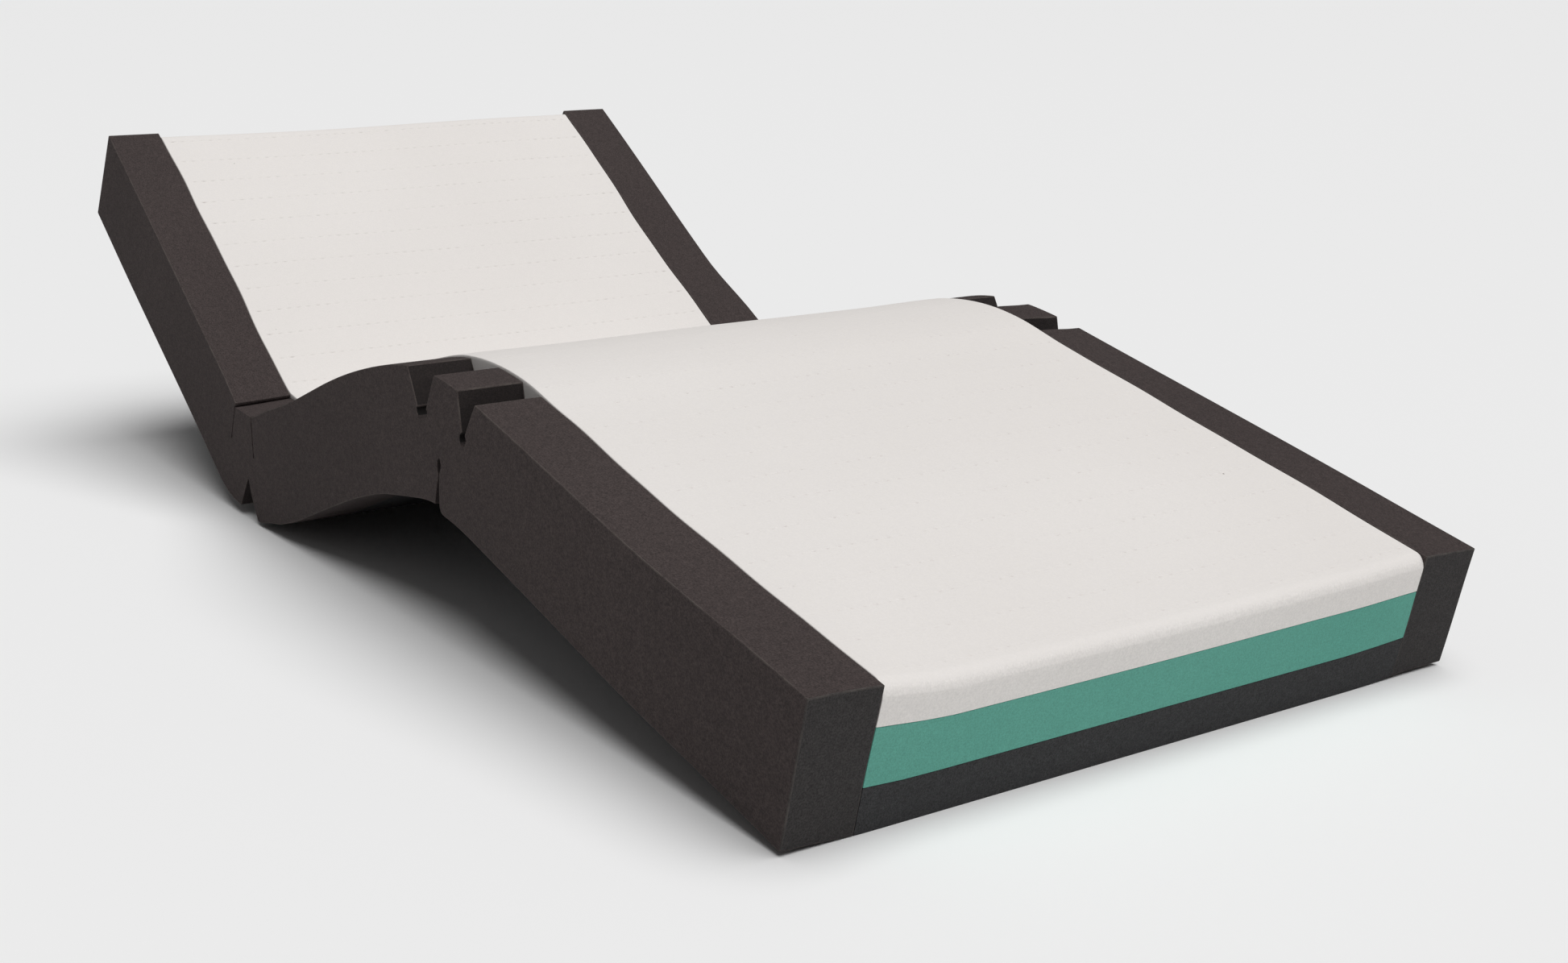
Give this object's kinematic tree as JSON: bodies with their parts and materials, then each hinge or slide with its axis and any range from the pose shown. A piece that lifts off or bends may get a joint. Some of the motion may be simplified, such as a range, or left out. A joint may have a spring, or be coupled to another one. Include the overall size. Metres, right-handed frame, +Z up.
{
  "type": "pressure relief mattress",
  "caption": "Hospital foam mattress core: two dark cut side rails, dark base, teal middle and white top layer, folding at hip and knee.",
  "frame": {"origin": "on the floor, under the middle of the part's box, with the core folded as in the picture and standing on its hip underside and its foot edge", "axes": "+X towards the foot end, +Y towards the patient's left, +Z up; the core is the same on both sides of the XZ plane"},
  "size_m": [1.8982, 0.88, 0.4837],
  "materials": {
    "rail_foam": "matt dark brown-grey open-cell foam",
    "base_foam": "matt dark grey open-cell foam",
    "middle_foam": "matt teal open-cell foam",
    "top_foam": "matt off-white soft foam with rows of small die cuts"
  },
  "bodies": {
    "seat": {"rail_right_seat": "rail_foam", "rail_left_seat": "rail_foam", "base_layer_seat": "base_foam", "middle_layer_seat": "middle_foam", "top_layer_seat": "top_foam", "rail_right_thigh_flex": "rail_foam", "rail_left_thigh_flex": "rail_foam", "base_layer_thigh_flex": "base_foam", "middle_layer_thigh_flex": "middle_foam", "top_layer_thigh_flex": "top_foam"},
    "hip_link": {"rail_right_hip_hinge": "rail_foam", "rail_left_hip_hinge": "rail_foam", "base_layer_hip_hinge": "base_foam", "middle_layer_hip_hinge": "middle_foam", "top_layer_hip_hinge": "top_foam"},
    "backrest": {"rail_right_backrest": "rail_foam", "rail_left_backrest": "rail_foam", "base_layer_backrest": "base_foam", "middle_layer_backrest": "middle_foam", "top_layer_backrest": "top_foam"},
    "thigh": {"rail_right_thigh": "rail_foam", "rail_left_thigh": "rail_foam", "base_layer_thigh": "base_foam", "middle_layer_thigh": "middle_foam", "top_layer_thigh": "top_foam"},
    "knee_link": {"rail_right_knee_hinge": "rail_foam", "rail_left_knee_hinge": "rail_foam", "base_layer_knee_hinge": "base_foam", "middle_layer_knee_hinge": "middle_foam", "top_layer_knee_hinge": "top_foam"},
    "calf": {"rail_right_calf": "rail_foam", "rail_left_calf": "rail_foam", "base_layer_calf": "base_foam", "middle_layer_calf": "middle_foam", "top_layer_calf": "top_foam"}
  },
  "joints": [
    {"name": "backrest_raise", "type": "hinge", "parent": "seat", "child": "hip_link", "pos_m": [-0.30528, 0, 0.07618], "axis": [0, 1, 0], "range_deg": [-24.5, 8], "deforming": ["rail_right_hip_hinge", "rail_left_hip_hinge", "base_layer_hip_hinge", "middle_layer_hip_hinge", "top_layer_hip_hinge"]},
    {"name": "backrest_raise_upper", "type": "hinge", "parent": "hip_link", "child": "backrest", "pos_m": [-0.39307, 0, 0.08913], "axis": [0, 1, 0], "range_deg": [-24.5, 8]},
    {"name": "thigh_raise", "type": "hinge", "parent": "seat", "child": "thigh", "pos_m": [-0.16211, 0, 0.11689], "axis": [0, -1, 0], "range_deg": [0, 16], "deforming": ["rail_right_thigh_flex", "rail_left_thigh_flex", "base_layer_thigh_flex", "middle_layer_thigh_flex", "top_layer_thigh_flex"]},
    {"name": "calf_lower", "type": "hinge", "parent": "thigh", "child": "knee_link", "pos_m": [0.22549, 0, 0.23124], "axis": [0, 1, 0], "range_deg": [-20.5, 14], "deforming": ["rail_right_knee_hinge", "rail_left_knee_hinge", "base_layer_knee_hinge", "middle_layer_knee_hinge", "top_layer_knee_hinge"]},
    {"name": "calf_lower_end", "type": "hinge", "parent": "knee_link", "child": "calf", "pos_m": [0.31979, 0, 0.22137], "axis": [0, 1, 0], "range_deg": [-9.22, 6.3]}
  ],
  "couplings": [
    {"joint": "backrest_raise_upper", "follows": "backrest_raise", "ratio": 1},
    {"joint": "calf_lower_end", "follows": "calf_lower", "ratio": 0.45}
  ]
}
